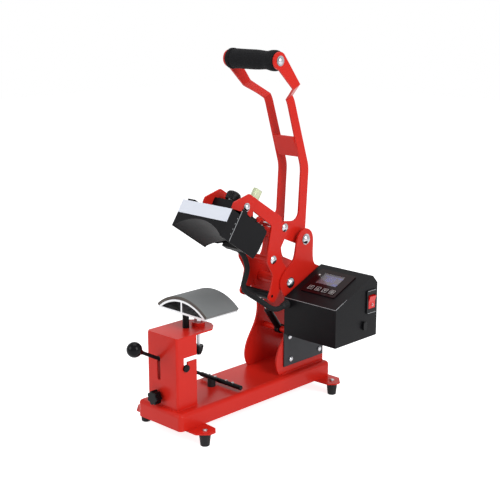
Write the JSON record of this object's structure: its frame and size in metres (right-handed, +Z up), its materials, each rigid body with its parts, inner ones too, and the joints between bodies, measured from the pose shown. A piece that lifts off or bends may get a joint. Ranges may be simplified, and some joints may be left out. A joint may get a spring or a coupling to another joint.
{
  "type": "cap heat press",
  "caption": "Clamshell cap heat press, shown open: curved heated head on a tipping arm, padded curved platen on a post, toggle handle with foam grip, side control box.",
  "frame": {"origin": "floor level, midway between the four feet, on the press's left-right middle", "axes": "+Z up, +X to the operator's right (the control box side), -Y towards the operator (the post with the ball lever)"},
  "size_m": [0.2994, 0.4985, 0.729],
  "materials": {
    "red_paint": "gloss",
    "black_paint": "satin",
    "rubber": "matt",
    "steel": "satin",
    "chrome": "polished",
    "aluminium": "satin",
    "silicone": "matt",
    "black_plastic": "matt",
    "gloss_black": "gloss",
    "red_plastic": "gloss",
    "window": "clear",
    "board": "satin",
    "label": "satin",
    "heat_coat": "matt",
    "wool": "matt",
    "foam": "matt",
    "pale_cap": "translucent",
    "lead": "braided sleeve"
  },
  "bodies": {
    "frame": {"base_tray": "red_paint", "foot_straps": "red_paint", "rubber_feet": "rubber", "frame_screws": "chrome", "front_post": "red_paint", "lever_stop": "rubber", "platen_stud": "black_paint", "clamp_boss": "red_paint", "clamp_nut": "chrome", "lower_platen": "aluminium", "silicone_pad": "silicone", "frame_plate_right": "red_paint", "frame_plate_left": "red_paint", "frame_ties": "steel", "pivot_bolts": "chrome", "box_bracket": "black_paint", "control_box": "black_paint", "box_back": "black_paint", "display_panel": "gloss_black", "display_window": "window", "circuit_board": "board", "side_fittings": "black_plastic", "heater_lead": "lead"},
    "clamp_lever": {"lever_pin": "black_paint", "lever_rod": "chrome", "ball_knob": "black_plastic", "lever_crossbar": "black_paint", "crossbar_screws": "chrome"},
    "star_screw": {"star_knob": "black_plastic"},
    "clamp": {"clamp_knob": "black_plastic", "clamp_screw": "chrome"},
    "arm": {"arm_plate_right": "red_paint", "arm_plate_left": "red_paint", "arm_tubes": "red_paint", "tail_bar": "black_paint", "nut_block": "black_paint", "arm_bolts": "chrome", "terminal_cap": "pale_cap"},
    "head": {"heater_cover": "black_paint", "heat_plate": "heat_coat", "heating_element": "steel", "insulation_mat": "wool", "label_plate": "label", "cover_screws": "chrome", "head_block": "black_plastic", "cover_plugs": "black_plastic"},
    "adjuster": {"pressure_knob": "black_plastic", "pressure_screw": "chrome"},
    "handle": {"handle_frame": "red_paint", "grip_rod": "chrome", "foam_grip": "foam", "crank_bolts": "chrome"},
    "links": {"toggle_links": "red_paint"},
    "strut_tube": {"strut_cylinder": "black_paint"},
    "strut_piston": {"strut_rod": "chrome"},
    "rocker": {"power_rocker": "red_plastic"},
    "push_1": {"button_1": "black_plastic"},
    "push_2": {"button_2": "black_plastic"},
    "push_3": {"button_3": "black_plastic"},
    "push_4": {"button_4": "black_plastic"}
  },
  "joints": [
    {"name": "handle_pivot", "type": "hinge", "parent": "frame", "child": "handle", "pos_m": [0, 0.14, 0.341], "axis": [1, 0, 0], "range_deg": [0, 53]},
    {"name": "main_hinge", "type": "hinge", "parent": "frame", "child": "arm", "pos_m": [0, 0.094, 0.257], "axis": [1, 0, 0], "range_deg": [0, 34.3], "deforming": ["heater_lead"]},
    {"name": "link_pivot", "type": "hinge", "parent": "handle", "child": "links", "pos_m": [0, 0.087, 0.372], "axis": [1, 0, 0], "range_deg": [-75.4, 0]},
    {"name": "strut_foot_pivot", "type": "hinge", "parent": "frame", "child": "strut_tube", "pos_m": [0, 0.112, 0.145], "axis": [1, 0, 0], "range_deg": [-1.4, 0]},
    {"name": "strut_stroke", "type": "slide", "parent": "strut_tube", "child": "strut_piston", "axis": [0, -0.5874, 0.8093], "range_m": [-0.031, 0]},
    {"name": "head_height", "type": "slide", "parent": "arm", "child": "head", "axis": [0, 0.5621, 0.8271], "range_m": [0, 0.003]},
    {"name": "pressure_knob_turn", "type": "hinge", "parent": "head", "child": "adjuster", "pos_m": [0, -0.02837, 0.4381], "axis": [0, 0.5621, 0.8271], "range_deg": [0, 720]},
    {"name": "clamp_lever_hinge", "type": "hinge", "parent": "frame", "child": "clamp_lever", "pos_m": [0, -0.193, 0.145], "axis": [1, 0, 0], "range_deg": [0, 54]},
    {"name": "star_knob_turn", "type": "hinge", "parent": "frame", "child": "star_screw", "pos_m": [-0.01, -0.2153, 0.0815], "axis": [0, -1, 0], "continuous": true},
    {"name": "clamp_knob_turn", "type": "hinge", "parent": "frame", "child": "clamp", "pos_m": [0.005, -0.125, 0.166], "axis": [0, 0, 1], "continuous": true},
    {"name": "power_rocker_tilt", "type": "hinge", "parent": "frame", "child": "rocker", "pos_m": [0.1866, 0.181, 0.228], "axis": [0, 1, 0], "range_deg": [-16, 0]},
    {"name": "button_1_press", "type": "slide", "parent": "frame", "child": "push_1", "axis": [0, 0.3987, -0.9171], "range_m": [0, 0.001], "stiffness_N_per_m": 400},
    {"name": "button_2_press", "type": "slide", "parent": "frame", "child": "push_2", "axis": [0, 0.3987, -0.9171], "range_m": [0, 0.001], "stiffness_N_per_m": 400},
    {"name": "button_3_press", "type": "slide", "parent": "frame", "child": "push_3", "axis": [0, 0.3987, -0.9171], "range_m": [0, 0.001], "stiffness_N_per_m": 400},
    {"name": "button_4_press", "type": "slide", "parent": "frame", "child": "push_4", "axis": [0, 0.3987, -0.9171], "range_m": [0, 0.001], "stiffness_N_per_m": 400}
  ],
  "couplings": [
    {"joint": "main_hinge", "follows": "handle_pivot", "ratio": 0.64528},
    {"joint": "link_pivot", "follows": "handle_pivot", "ratio": -1.4201},
    {"joint": "strut_foot_pivot", "follows": "handle_pivot", "ratio": -0.024995},
    {"joint": "strut_stroke", "follows": "handle_pivot", "m_per_rad": -0.033414},
    {"joint": "pressure_knob_turn", "follows": "head_height", "rad_per_m": 4188}
  ]
}
